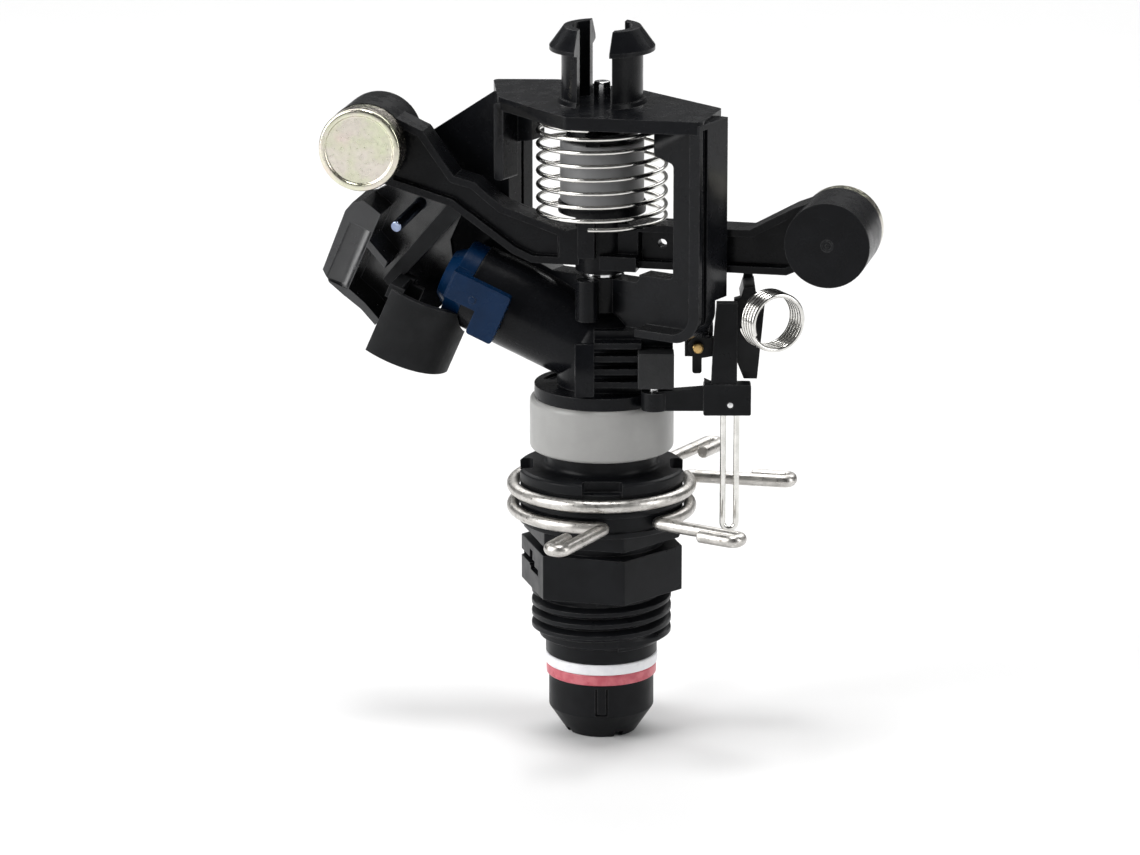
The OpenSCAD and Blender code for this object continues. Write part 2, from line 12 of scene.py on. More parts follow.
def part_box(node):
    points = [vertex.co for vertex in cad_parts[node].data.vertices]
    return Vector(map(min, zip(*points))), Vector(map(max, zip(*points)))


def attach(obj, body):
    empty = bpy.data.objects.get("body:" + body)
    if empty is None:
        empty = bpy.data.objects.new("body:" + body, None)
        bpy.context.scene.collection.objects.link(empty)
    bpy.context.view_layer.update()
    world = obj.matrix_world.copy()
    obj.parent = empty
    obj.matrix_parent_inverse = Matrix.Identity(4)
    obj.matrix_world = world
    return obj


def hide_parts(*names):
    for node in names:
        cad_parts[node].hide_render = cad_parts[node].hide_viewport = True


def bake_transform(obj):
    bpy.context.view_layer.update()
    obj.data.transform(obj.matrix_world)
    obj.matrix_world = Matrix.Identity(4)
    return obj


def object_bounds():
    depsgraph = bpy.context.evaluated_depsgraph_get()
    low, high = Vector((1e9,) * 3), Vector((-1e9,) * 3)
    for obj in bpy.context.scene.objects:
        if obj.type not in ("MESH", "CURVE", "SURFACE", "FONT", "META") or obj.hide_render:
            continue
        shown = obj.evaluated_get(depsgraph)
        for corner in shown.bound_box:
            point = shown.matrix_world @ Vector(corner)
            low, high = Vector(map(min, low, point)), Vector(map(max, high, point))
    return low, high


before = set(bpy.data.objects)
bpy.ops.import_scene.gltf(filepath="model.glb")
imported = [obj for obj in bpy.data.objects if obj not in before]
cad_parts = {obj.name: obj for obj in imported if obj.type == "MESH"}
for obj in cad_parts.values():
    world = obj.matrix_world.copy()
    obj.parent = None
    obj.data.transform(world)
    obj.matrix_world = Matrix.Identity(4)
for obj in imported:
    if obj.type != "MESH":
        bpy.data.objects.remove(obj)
cad_low, cad_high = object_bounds()

MM = 0.001

# ---- frame values, in millimetres ----


def span(node):
    """Lowest and highest corner of a CAD node, in millimetres."""
    low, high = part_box(node)
    return low / MM, high / MM


def heights(node):
    """Lowest and highest Z of a CAD node."""
    low, high = span(node)
    return low.z, high.z


def across(node):
    """Half the width of a round CAD node."""
    low, high = span(node)
    return (high.x - low.x) / 2


VIEW_TURN = radians(12.6)
BARREL_RISE = radians(23.6)
BARREL_Z = 37.1
BARREL_LEN = 21.4
BORE_R = 4.6
NIPPLE_R = 6.5
COLLAR_R = 13.45
COLLAR_WIRE_R = 0.97
FOLD_GAP = 2.35
FOLD_BACK = 6.0
FOLD_BEND = 1.15
LOWER_COLLAR_Z = sum(heights("lower_trip_collar")) / 2
UPPER_COLLAR_Z = sum(heights("upper_trip_collar")) / 2
PIVOT_R = 1.25
LEVER_Y = -10.0
LEVER_PIN = (7.8, -9.7)

ALONG_X = Matrix.Rotation(pi / 2, 4, "Y")
UPRIGHT = Matrix.Rotation(pi / 2, 4, "X")
TRIP = Matrix.Rotation(VIEW_TURN, 4, "Z")
BARREL = (
    Matrix.Translation((0, 0, BARREL_Z)) @ Matrix.Rotation(pi, 4, "Z") @ Matrix.Rotation(-BARREL_RISE, 4, "Y")
)
HEX = Matrix.Rotation(radians(-2), 4, "Z")


def shift(x, y, z):
    return Matrix.Translation((x, y, z))


def turn_z(degrees):
    return Matrix.Rotation(radians(degrees), 4, "Z")


# ---- outlines ----


def rounded(corners, steps=5):
    """Closed outline. A corner is (x, y), or (x, y, radius) to round it."""
    outline = []
    for i, corner in enumerate(corners):
        p = Vector(corner[:2])
        radius = corner[2] if len(corner) > 2 else 0
        if not radius:
            outline.append(p)
            continue
        a = Vector(corners[i - 1][:2]) - p
        b = Vector(corners[(i + 1) % len(corners)][:2]) - p
        reach = min(radius / tan(a.angle(b) / 2), 0.48 * a.length, 0.48 * b.length)
        start, end = p + a.normalized() * reach, p + b.normalized() * reach
        for k in range(steps + 1):
            t = k / steps
            outline.append((1 - t) ** 2 * start + 2 * t * (1 - t) * p + t * t * end)
    return outline


def box_outline(x0, x1, y0, y1, radius=0.3):
    return rounded([(x0, y0, radius), (x1, y0, radius), (x1, y1, radius), (x0, y1, radius)])


def polygon(sides, radius):
    angles = [2 * pi * i / sides for i in range(sides)]
    return [Vector((radius * cos(a), radius * sin(a))) for a in angles]


# ---- solids ----


def soften(bm, width, segments=2, sharper=30):
    """Rounds every edge that is sharper than the given angle."""
    bmesh.ops.recalc_face_normals(bm, faces=bm.faces)
    sharp = [e for e in bm.edges if len(e.link_faces) == 2 and e.calc_face_angle(0) > radians(sharper)]
    if width and sharp:
        bmesh.ops.bevel(
            bm, geom=sharp, offset=width, offset_type="OFFSET", segments=segments, profile=0.5,
            affect="EDGES", clamp_overlap=True,
        )
    return bm


def prism(outline, low, high, edge=0.2, segments=2):
    """Solid between two heights along Z, with its edges rounded."""
    bm = bmesh.new()
    rings = [[bm.verts.new((p[0], p[1], z)) for p in outline] for z in (low, high)]
    bm.faces.new(reversed(rings[0]))
    bm.faces.new(rings[1])
    for i in range(len(outline)):
        k = (i + 1) % len(outline)
        bm.faces.new((rings[0][i], rings[0][k], rings[1][k], rings[1][i]))
    return soften(bm, edge, segments)


def block(x0, x1, y0, y1, z0, z1, edge=0.2):
    return prism([(x0, y0), (x1, y0), (x1, y1), (x0, y1)], z0, z1, edge)


def lathe(profile, turns=96, twist=0.0):
    """Solid of revolution about Z from a closed outline of (radius, z)."""
    bm = bmesh.new()
    rings = []
    for i in range(turns):
        a = twist + 2 * pi * i / turns
        rings.append([bm.verts.new((max(p[0], 0) * cos(a), max(p[0], 0) * sin(a), p[1])) for p in profile])
    for i in range(turns):
        a, b = rings[i], rings[(i + 1) % turns]
        for k in range(len(profile)):
            m = (k + 1) % len(profile)
            bm.faces.new((a[k], b[k], b[m], a[m]))
    bmesh.ops.remove_doubles(bm, verts=bm.verts, dist=1e-5)
    bmesh.ops.recalc_face_normals(bm, faces=bm.faces)
    return bm


def rod(radius, low, high, edge=0.2, sides=48):
    """Round bar along Z with rounded rims."""
    return lathe(rounded([(0, low), (radius, low, edge), (radius, high, edge), (0, high)], 3), sides)


def washer(outer, inner, low, high, edge=0.2, turns=96):
    corners = [(inner, low, edge / 2), (outer, low, edge), (outer, high, edge), (inner, high, edge / 2)]
    return lathe(rounded(corners, 3), turns)


def moved(bm, *matrices):
    whole = Matrix.Identity(4)
    for m in matrices:
        whole = whole @ m
    bmesh.ops.transform(bm, matrix=whole, verts=bm.verts)
    return bm


def joined(*parts):
    """One bmesh that holds all the parts."""
    whole = bmesh.new()
    for part in parts:
        mesh = bpy.data.meshes.new("part")
        part.to_mesh(mesh)
        part.free()
        whole.from_mesh(mesh)
        bpy.data.meshes.remove(mesh)
    return whole


def temporary(bm):
    mesh = bpy.data.meshes.new("temporary")
    bm.to_mesh(mesh)
    bm.free()
    obj = bpy.data.objects.new("temporary", mesh)
    bpy.context.scene.collection.objects.link(obj)
    return obj


def combine(bm, other, how="DIFFERENCE"):
    """Boolean of two solids."""
    target, tool = temporary(bm), temporary(other)
    modifier = target.modifiers.new("boolean", "BOOLEAN")
    modifier.operation = how
    modifier.solver = "EXACT"
    modifier.use_self = True
    modifier.object = tool
    graph = bpy.context.evaluated_depsgraph_get()
    mesh = bpy.data.meshes.new_from_object(target.evaluated_get(graph))
    out = bmesh.new()
    out.from_mesh(mesh)
    bmesh.ops.remove_doubles(out, verts=out.verts, dist=1e-4)
    bmesh.ops.dissolve_degenerate(out, edges=out.edges, dist=1e-4)
    for obj in (target, tool):
        old = obj.data
        bpy.data.objects.remove(obj)
        bpy.data.meshes.remove(old)
    bpy.data.meshes.remove(mesh)
    return out


def cut(bm, *tools):
    for tool in tools:
        bm = combine(bm, tool)
    return bm


# ---- wires ----


def bent(corners, radius, steps=8):
    """Path in space with its inner corners rounded."""
    points = [Vector(p) for p in corners]
    path = [points[0]]
    for before, p, after in zip(points, points[1:], points[2:]):
        a, b = before - p, after - p
        reach = min(radius, 0.48 * a.length, 0.48 * b.length)
        start, end = p + a.normalized() * reach, p + b.normalized() * reach
        for k in range(steps + 1):
            t = k / steps
            path.append((1 - t) ** 2 * start + 2 * t * (1 - t) * p + t * t * end)
    return path + [points[-1]]


def ring_arc(radius, z, start, end, step=4.0):
    """Points along a level arc, angles in degrees."""
    count = max(2, round(abs(end - start) / step))
    angles = [radians(start + (end - start) * i / count) for i in range(count + 1)]
    return [Vector((radius * cos(a), radius * sin(a), z)) for a in angles]


def coil(radius, low, high, turns, start=0.0, steps=40, closed_ends=0.8, wire=0.33):
    """Helix along Z whose end turns lie nearly flat."""
    total = round(turns * steps)
    flat = closed_ends * steps
    rise = [2.1 * wire / steps if min(i, total - i) < flat else 1.0 for i in range(total)]
    tight = sum(r for r in rise if r != 1.0)
    loose = (high - low - tight) / max(1, sum(1 for r in rise if r == 1.0))
    z, path = low, []
    for i in range(total + 1):
        a = start + 2 * pi * i / steps
        path.append(Vector((radius * cos(a), radius * sin(a), z)))
        if i < total:
            z += rise[i] if rise[i] != 1.0 else loose
    return path


def tube(path, radius, sides=16, edge=0.25):
    """Round wire along a path, with its cut ends slightly rounded."""
    points = [Vector(p) for p in path]
    tangents = []
    for i in range(len(points)):
        tangents.append((points[min(i + 1, len(points) - 1)] - points[max(i - 1, 0)]).normalized())
    normal = tangents[0].orthogonal().normalized()
    stations = []
    for i, (p, t) in enumerate(zip(points, tangents)):
        if i:
            normal = tangents[i - 1].rotation_difference(t) @ normal
        normal = (normal - t * normal.dot(t)).normalized()
        stations.append((p, t, normal.copy(), radius))
    first, last = stations[0], stations[-1]
    start = (first[0] - first[1] * edge * radius, first[1], first[2], radius * (1 - edge))
    end = (last[0] + last[1] * edge * radius, last[1], last[2], radius * (1 - edge))
    bm = bmesh.new()
    rings = []
    for p, t, n, r in [start, *stations, end]:
        side = t.cross(n)
        angles = [2 * pi * k / sides for k in range(sides)]
        rings.append([bm.verts.new(p + r * (n * cos(a) + side * sin(a))) for a in angles])
    for a, b in zip(rings, rings[1:]):
        for k in range(sides):
            m = (k + 1) % sides
            bm.faces.new((a[k], a[m], b[m], b[k]))
    bm.faces.new(reversed(rings[0]))
    bm.faces.new(rings[-1])
    bmesh.ops.recalc_face_normals(bm, faces=bm.faces)
    return bm


# ---- materials ----


class Surface:
    """A procedural material: patches of two colours, uneven gloss, fine grain and soft corners."""

    def __init__(self, name, rough, metallic=0.0):
        self.material = bpy.data.materials.new(name)
        self.material.use_nodes = True
        self.tree = self.material.node_tree
        self.shader = self.tree.nodes["Principled BSDF"]
        self.shader.inputs["Roughness"].default_value = rough
        self.shader.inputs["Metallic"].default_value = metallic
        self.place = self.node("ShaderNodeTexCoord").outputs["Object"]
        self.rough = rough
        self.normal = None
        self.colour = None

    def node(self, kind, **values):
        made = self.tree.nodes.new(kind)
        for key, value in values.items():
            if hasattr(made, key):
                setattr(made, key, value)
            else:
                made.inputs[key].default_value = value
        return made

    def link(self, output, socket):
        self.tree.links.new(output, socket)

    def noise(self, size, detail=3.0, stretch=None):
        """Noise whose features are about size millimetres."""
        texture = self.node("ShaderNodeTexNoise", Scale=1 / (size * MM), Detail=detail, Roughness=0.55)
        place = self.place
        if stretch:
            mapping = self.node("ShaderNodeMapping", Scale=stretch)
            self.link(place, mapping.inputs["Vector"])
            place = mapping.outputs["Vector"]
        self.link(place, texture.inputs["Vector"])
        return texture.outputs["Fac"]

    def spread(self, value, low, high, to_low=0.0, to_high=1.0):
        """Maps a value from one range to another, clamped."""
        ranged = self.node("ShaderNodeMapRange")
        for key, number in (("From Min", low), ("From Max", high), ("To Min", to_low), ("To Max", to_high)):
            ranged.inputs[key].default_value = number
        self.link(value, ranged.inputs["Value"])
        return ranged.outputs["Result"]

    def mixed(self, factor, first, second):
        """Colour between two colours or outputs."""
        mix = self.node("ShaderNodeMix", data_type="RGBA")
        a, b = [s for s in mix.inputs if s.type == "RGBA"]
        for socket, value in ((a, first), (b, second)):
            if isinstance(value, tuple):
                socket.default_value = (*value, 1)
            else:
                self.link(value, socket)
        self.link(factor, mix.inputs["Factor"])
        return [s for s in mix.outputs if s.type == "RGBA"][0]

    def patches(self, first, second, size=5.0, low=0.4, high=0.6):
        """Base colour that drifts between two close tones."""
        self.colour = self.mixed(self.spread(self.noise(size), low, high), first, second)
        return self

    def spots(self, tone, size=0.5, low=0.62, high=0.7):
        """Small marks of another tone over the base colour."""
        self.colour = self.mixed(self.spread(self.noise(size, 2.0), low, high), self.colour, tone)
        return self

    def uneven_gloss(self, amount, size=2.0, stretch=None):
        rough = self.spread(
            self.noise(size, 4.0, stretch), 0.3, 0.7, max(0.02, self.rough - amount), self.rough + amount
        )
        self.link(rough, self.shader.inputs["Roughness"])
        return self

    def soft_corners(self, radius):
        """Rounds the shading of edges that are sharper than the mesh's own roundings."""
        bevel = self.node("ShaderNodeBevel", samples=4, Radius=radius * MM)
        self.normal = bevel.outputs["Normal"]
        return self

    def wear_and_painted_highlight_edges(self, tone, radius=0.3, low=0.015, high=0.12, strength=0.6):
        """A lighter tone where the surface turns sharply: partly edge wear, partly painted highlight."""
        # Painted highlight: the pale tone on sharp edges stands partly for wear and partly for light glinting
        # along the edges.
        bevel = self.node("ShaderNodeBevel", samples=4, Radius=radius * MM)
        geometry = self.node("ShaderNodeNewGeometry")
        dot = self.node("ShaderNodeVectorMath", operation="DOT_PRODUCT")
        self.link(bevel.outputs["Normal"], dot.inputs[0])
        self.link(geometry.outputs["Normal"], dot.inputs[1])
        wear_and_highlight = self.spread(dot.outputs["Value"], 1 - low, 1 - high, 0.0, strength)
        patchy = self.node("ShaderNodeMath", operation="MULTIPLY")
        self.link(wear_and_highlight, patchy.inputs[0])
        self.link(self.spread(self.noise(1.2), 0.4, 0.6, 0.35, 1.0), patchy.inputs[1])
        self.colour = self.mixed(patchy.outputs["Value"], self.colour, tone)
        return self

    def grain(self, depth, size, stretch=None, detail=3.0):
        """Fine relief, depth and size in millimetres."""
        bump = self.node("ShaderNodeBump", Strength=1.0, Distance=depth * MM)
        self.link(self.noise(size, detail, stretch), bump.inputs["Height"])
        if self.normal:
            self.link(self.normal, bump.inputs["Normal"])
        self.normal = bump.outputs["Normal"]
        return self

    def done(self, **sockets):
        for key, value in sockets.items():
            self.shader.inputs[key.replace("_", " ")].default_value = value
        if self.colour:
            self.link(self.colour, self.shader.inputs["Base Color"])
        if self.normal:
            self.link(self.normal, self.shader.inputs["Normal"])
        return self.material


def moulded(
    name, tone, rough, grain_depth=0.004, grain_size=0.5, corner=0.14, edge=0.05, drift=1.35, shine=0.12,
):
    """Black or coloured moulded plastic, glossy, with faint flow marks and pale edges that are partly wear
    and partly painted highlight.
    """
    lighter = tuple(c * drift for c in tone)
    # Pale edge tone, partly wear and partly painted highlight along sharp edges; edge adds to how much paler
    # it is.
    pale = tuple(c * 1.3 + edge for c in tone)
    return (
        Surface(name, rough)
        .patches(tone, lighter, 4.0)
        .wear_and_painted_highlight_edges(pale, 0.24, 0.01, 0.08, 0.8)
        .uneven_gloss(0.07, 2.5)
        .soft_corners(corner)
        .grain(grain_depth, grain_size)
        .grain(0.02, 5.0)
        .done(IOR=1.5, Specular_IOR_Level=shine)
    )


def polished(name, tone, second, rough, pits=None, size=1.5, depth=0.002):
    """Bright drawn wire or turned metal with fine scratches."""
    made = Surface(name, rough, 1.0).patches(tone, second, size)
    if pits:
        made.spots(pits, 0.45)
    return made.uneven_gloss(0.09, 0.8).grain(depth, 0.25).done()


def plated_steel():
    """Yellow-passivated zinc: pale straw with pink and green bloom."""
    made = Surface("plated_steel", 0.22, 1.0).patches((0.65, 0.64, 0.50), (0.68, 0.63, 0.56), 3.5, 0.42, 0.58)
    bloom = made.spread(made.noise(2.6, 2.0), 0.55, 0.72, 0.0, 0.5)
    made.colour = made.mixed(bloom, made.colour, (0.68, 0.73, 0.50))
    blush = made.spread(made.noise(4.5, 2.0), 0.56, 0.74, 0.0, 0.45)
    made.colour = made.mixed(blush, made.colour, (0.75, 0.56, 0.56))
    return made.uneven_gloss(0.1, 0.7).soft_corners(0.1).grain(0.004, 0.6).grain(0.001, 0.12).done()


def galvanised_wire():
    """Dull zinc-coated wire with pits and rubbed highlights."""
    made = Surface("collar_wire", 0.36, 1.0).patches((0.62, 0.60, 0.57), (0.46, 0.445, 0.42), 1.6, 0.38, 0.66)
    made.spots((0.70, 0.68, 0.65), 0.9, 0.58, 0.72).spots((0.22, 0.19, 0.16), 0.5, 0.66, 0.74)
    return made.uneven_gloss(0.12, 0.6).grain(0.02, 0.7).grain(0.006, 0.2).done()


def rubbed_rubber(name, tone, second, rough, **sockets):
    return (
        Surface(name, rough)
        .patches(tone, second, 1.8)
        .uneven_gloss(0.1, 1.0)
        .soft_corners(0.12)
        .grain(0.01, 0.35)
        .done(**sockets)
    )


MATERIALS = {
    "black_body": moulded("black_body", (0.0045, 0.0048, 0.0058), 0.25),
    "black_sleeve": moulded("black_sleeve", (0.0058, 0.0062, 0.0072), 0.34, 0.006, 0.35),
    "black_nipple": moulded("black_nipple", (0.0062, 0.0065, 0.0074), 0.40, 0.006, 0.35),
    "black_arm": moulded("black_arm", (0.0042, 0.0044, 0.0052), 0.28),
    "black_textured": moulded("black_textured", (0.0100, 0.0104, 0.0112), 0.60, 0.05, 0.45, shine=0.35),
    "spoon_black": moulded("spoon_black", (0.0070, 0.0074, 0.0090), 0.22, shine=0.75),
    "bucket_black": moulded("bucket_black", (0.0100, 0.0104, 0.0112), 0.48, 0.022, 0.3, edge=0.05),
    "lever_black": moulded("lever_black", (0.0050, 0.0053, 0.0060), 0.32),
    "reversing_black": moulded("reversing_black", (0.0120, 0.0124, 0.0132), 0.34),
    "cover_grey": moulded("cover_grey", (0.312, 0.310, 0.302), 0.36, 0.006, 0.35, 0.2, 0.01, 1.06, 0.4),
    "bearing_grey": moulded("bearing_grey", (0.190, 0.191, 0.194), 0.36, 0.006, 0.35, 0.15, 0.01, 1.10, 0.4),
    "nozzle_blue": moulded("nozzle_blue", (0.0012, 0.0135, 0.0440), 0.25, 0.004, 0.4, 0.16, 0.02, 1.2, 0.15),
    "white_plastic": rubbed_rubber("white_plastic", (0.86, 0.86, 0.88), (0.80, 0.80, 0.83), 0.42),
    "red_rubber": rubbed_rubber(
        "red_rubber", (0.50, 0.085, 0.115), (0.60, 0.15, 0.18), 0.36,
        Subsurface_Weight=0.15, Subsurface_Scale=0.001,
    ),
    "seal_rubber": rubbed_rubber("seal_rubber", (0.010, 0.010, 0.010), (0.016, 0.016, 0.017), 0.6),
    "collar_wire": galvanised_wire(),
    "spring_steel": polished("spring_steel", (0.78, 0.77, 0.74), (0.66, 0.65, 0.62), 0.17),
    "pin_steel": polished("pin_steel", (0.76, 0.76, 0.76), (0.64, 0.64, 0.65), 0.2, (0.48, 0.48, 0.49)),
    "deflector_steel": polished("deflector_steel", (0.34, 0.40, 0.54), (0.22, 0.26, 0.38), 0.16),
    "plated_steel": plated_steel(),
    "brass": polished("brass", (0.62, 0.42, 0.17), (0.50, 0.33, 0.13), 0.28, (0.30, 0.18, 0.08)),
}


def piece(name, body, slot, bm, replaces=(), look=None, smooth_below=38, flatten=True):
    """Makes an object from a bmesh in millimetres and fixes it to its CAD body."""
    bmesh.ops.scale(bm, vec=(MM, MM, MM), verts=bm.verts)
    for edge in bm.edges:
        edge.smooth = len(edge.link_faces) == 2 and edge.calc_face_angle(0) < radians(smooth_below)
    for face in bm.faces:
        face.smooth = True
    mesh = bpy.data.meshes.new(name)
    bm.to_mesh(mesh)
    bm.free()
    mesh.materials.append(MATERIALS[look or slot])
    obj = bpy.data.objects.new(name, mesh)
    bpy.context.scene.collection.objects.link(obj)
    if flatten:
        weighted = obj.modifiers.new("flat_faces", "WEIGHTED_NORMAL")
        weighted.keep_sharp = True
    if body:
        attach(obj, body)
    if replaces:
        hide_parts(*replaces)
    return obj


# ---- threaded bearing ----

HEX_R = 12.64
HEX_H = 7.0
THREAD_R = 10.67
THREAD_ROOT_R = 9.45
THREAD_PITCH = 1.814
FLANGE_R = 12.9
NECK_R = 8.55
SEAT_R = 12.35
FLANGE_TOP = 19.0
THREAD_START = -7.35
THREAD_TURNS = 3.95
THREAD_START_TURN = -62


def thread_ridge(low, turns, steps=72, runout=0.22):
    """Helical ridge that fades into the root at both ends."""
    half = THREAD_PITCH / 2
    flank = [(1, 0.18), (0.98, 0.31), (0.86, 0.40), (0, half - 0.02)]
    section = [(part, -dz) for part, dz in reversed(flank)] + flank
    inner = THREAD_ROOT_R - 0.35
    total = round(turns * steps)
    bm = bmesh.new()
    rings = []
    for i in range(total + 1):
        a = radians(THREAD_START_TURN) + 2 * pi * i / steps
        fade = min(1.0, min(i, total - i) / (runout * steps))
        fade = fade * fade * (3 - 2 * fade)
        z = low + THREAD_PITCH * i / steps
        ring = [(inner, -half + 0.02)]
        depth = (THREAD_R - THREAD_ROOT_R) * fade
        ring += [(THREAD_ROOT_R - 0.02 + part * depth, dz) for part, dz in section]
        ring.append((inner, half - 0.02))
        rings.append([bm.verts.new((r * cos(a), r * sin(a), z + dz)) for r, dz in ring])
    for a, b in zip(rings, rings[1:]):
        for k in range(len(a)):
            m = (k + 1) % len(a)
            bm.faces.new((a[k], b[k], b[m], a[m]))
    bm.faces.new(rings[0])
    bm.faces.new(reversed(rings[-1]))
    bmesh.ops.recalc_face_normals(bm, faces=bm.faces)
    return bm


def bearing_sleeve():
    low, top = heights("bearing_sleeve")
    groove_h = COLLAR_WIRE_R + 0.2
    groove_r = COLLAR_R - COLLAR_WIRE_R - 0.15
    bore = NIPPLE_R + 0.08
    skirt = LOWER_COLLAR_Z - groove_h
    disc_low, disc_high = LOWER_COLLAR_Z + groove_h, UPPER_COLLAR_Z - groove_h
    rim_low = UPPER_COLLAR_Z + groove_h
    core = lathe(rounded([
        (bore, low), (8.5, low, 0.25), (8.5, -8.1, 0.2), (THREAD_ROOT_R, -7.7, 0.2),
        (THREAD_ROOT_R, 0.1, 0.05), (9.6, 0.1), (9.6, skirt - 1.0, 0.3),
        (FLANGE_R - 0.25, skirt - 0.9, 0.25), (FLANGE_R - 0.2, skirt, 0.2),
        (groove_r, skirt + 0.05, 0.3), (groove_r, disc_low, 0.3),
        (FLANGE_R, disc_low, 0.25), (FLANGE_R, disc_high, 0.25),
        (groove_r, disc_high, 0.3), (groove_r, rim_low + 0.3, 0.1), (9.9, rim_low + 0.3, 0.1),
        (9.9, 18.9, 0.5), (NECK_R, 19.2, 0.8), (NECK_R, top, 0.3), (bore, top, 0.1),
    ], 4), 120)
    rim = lathe(rounded([
        (9.0, rim_low), (FLANGE_R - 0.2, rim_low, 0.25), (FLANGE_R - 0.15, 18.7, 0.3),
        (12.3, FLANGE_TOP, 0.25), (9.0, FLANGE_TOP),
    ], 4), 120)
    notches = [
        moved(prism(box_outline(10.4, 16.4, -3, 3, 0.8), 16, 21, 0), TRIP, turn_z(90 * i)) for i in range(4)
    ]
    hexagon = moved(prism(polygon(6, HEX_R), 0, HEX_H, 0.18), HEX)
    pocket = [
        moved(block(x0, x1, -14, floor_y, z0, z1, 0), HEX, turn_z(-60))
        for x0, x1, floor_y, z0, z1 in (
            (-6.6, 1.4, -9.5, 3.7, 4.7),
            (-0.8, 3.4, -9.5, 2.9, 3.9),
            (-1.4, 0.2, -10.0, 3.4, 6.0),
        )
    ]
    seat = moved(prism(polygon(6, SEAT_R), HEX_H + 1.2, skirt - 0.6, 0.15), HEX)
    cone = lathe([
        (9, HEX_H + 1.0), (12.0, HEX_H + 1.0), (FLANGE_R + 0.1, skirt - 0.5), (9, skirt - 0.5),
    ], 120)
    ridge = thread_ridge(THREAD_START, THREAD_TURNS)
    bm = joined(core, cut(rim, *notches), cut(hexagon, *pocket), combine(seat, cone, "INTERSECT"), ridge)
    piece("threaded_bearing_sleeve", "base", "black_sleeve", bm, ["bearing_sleeve"])


def washers():
    low, high = heights("white_washer")
    bm = washer(across("white_washer"), NIPPLE_R + 0.08, low, high, 0.35)
    piece("thrust_washer", "base", "white_plastic", bm, ["white_washer"])
    low, high = heights("rubber_washer")
    bm = washer(across("rubber_washer"), NIPPLE_R + 0.08, low, high, 0.3)
    piece("seal_washer", "rotor", "red_rubber", bm, ["rubber_washer"])


def nose_retainer():
    low, top = heights("nose_retainer")
    outer = across("nose_retainer")
    seat = low + 4.0
    bm = lathe(rounded([
        (BORE_R, low, 0.2), (5.3, low, 0.4), (outer, seat, 0.5), (outer, top, 0.2), (NIPPLE_R + 0.05, top),
        (NIPPLE_R + 0.05, seat), (BORE_R, seat),
    ], 4), 120)
    cuts = []
    for i in range(4):
        quarter = [TRIP, turn_z(90 * i)]
        for side in (-0.95, 0.65):
            cuts.append(moved(block(7.4, 9.5, side, side + 0.28, seat + 0.2, top - 0.6, 0), *quarter))
        cuts.append(moved(block(7.5, 9.5, -0.95, 0.93, seat + 0.2, seat + 0.45, 0), *quarter))
        cuts.append(moved(block(3.6, 7.6, -0.7, 0.7, low - 1, low + 0.9, 0), *quarter, turn_z(28)))
    piece("nose_retainer_nut", "rotor", "black_nipple", cut(bm, joined(*cuts)), ["nose_retainer"])


def bearing_nipple():
    low, top = heights("bearing_nipple")
    bm = washer(NIPPLE_R, BORE_R, low, top, 0.15)
    piece("bearing_tube", "rotor", "black_nipple", bm, ["bearing_nipple"])


def bearing_spring():
    low, top = heights("bearing_spring")
    wire = 0.38
    bm = tube(coil(7.55, low + wire, top - wire, 4, 0, 48, 0.9, wire), wire, 12)
    piece("thrust_spring", "rotor", "spring_steel", bm, ["bearing_spring"])


def bearing_cover():
    low, top = heights("bearing_cover")
    outer = across("bearing_cover")
    wall = 1.4
    bm = lathe(rounded([
        (outer - wall, low, 0.3), (outer, low, 1.15), (outer, top, 0.9), (NIPPLE_R + 0.05, top),
        (NIPPLE_R + 0.05, top - wall), (outer - wall, top - wall, 0.3),
    ], 6), 128)
    piece("bearing_cover_cap", "rotor", "cover_grey", bm, ["bearing_cover"])


# ---- trip collars ----


def hook(start, tip, side):
    """A leg that runs out to its tip and folds back beside itself."""
    out = (tip - start).normalized()
    aside = Vector((-out.y, out.x, 0)) * side * FOLD_GAP
    return [start, tip, tip + aside, tip + aside - out * FOLD_BACK]


def trip_collar(name, node, body, z, start, end, tips, folds):
    """Bent wire: a folded leg, the ring from start to end in degrees, and the other folded leg."""
    trim = 10
    first = hook(ring_arc(COLLAR_R, z, start, start + 1)[0], Vector((*tips[0], z)), folds[0])
    last = hook(ring_arc(COLLAR_R, z, end, end + 1)[0], Vector((*tips[1], z)), folds[1])
    arc = ring_arc(COLLAR_R, z, start + trim, end - trim)
    near = bent([*reversed(first), arc[0]], FOLD_BEND)
    far = bent([arc[-1], *last], FOLD_BEND)
    bm = tube(near[:-1] + arc + far[1:], COLLAR_WIRE_R, 24, 0.18)
    piece(name, body, "collar_wire", bm, [node], flatten=False)


def trip_collars():
    trip_collar(
        "upper_collar", "upper_trip_collar", "upper_collar", UPPER_COLLAR_Z, 62.6, 390.4,
        [(11.3, 26.9), (27.7, 6.9)], (-1, 1),
    )
    trip_collar(
        "lower_collar", "lower_trip_collar", "lower_collar", LOWER_COLLAR_Z, -40.4, 284.6,
        [(24.5, -13.8), (-0.3, -26.2)], (-1, -1),
    )


# ---- pieces that keep the CAD shape, with their edges rounded ----


def from_cad(node, width, segments=2, flat=0.6, sharper=30):
    """The CAD node's own shape, cleaned on its flat faces and rounded along its edges."""
    bm = bmesh.new()
    bm.from_mesh(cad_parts[node].data)
    bmesh.ops.scale(bm, vec=(1 / MM,) * 3, verts=bm.verts)
    bmesh.ops.remove_doubles(bm, verts=bm.verts, dist=1e-4)
    bmesh.ops.dissolve_limit(bm, angle_limit=radians(flat), verts=bm.verts, edges=bm.edges)
    return soften(bm, width, segments, sharper)


# ---- rotating body ----


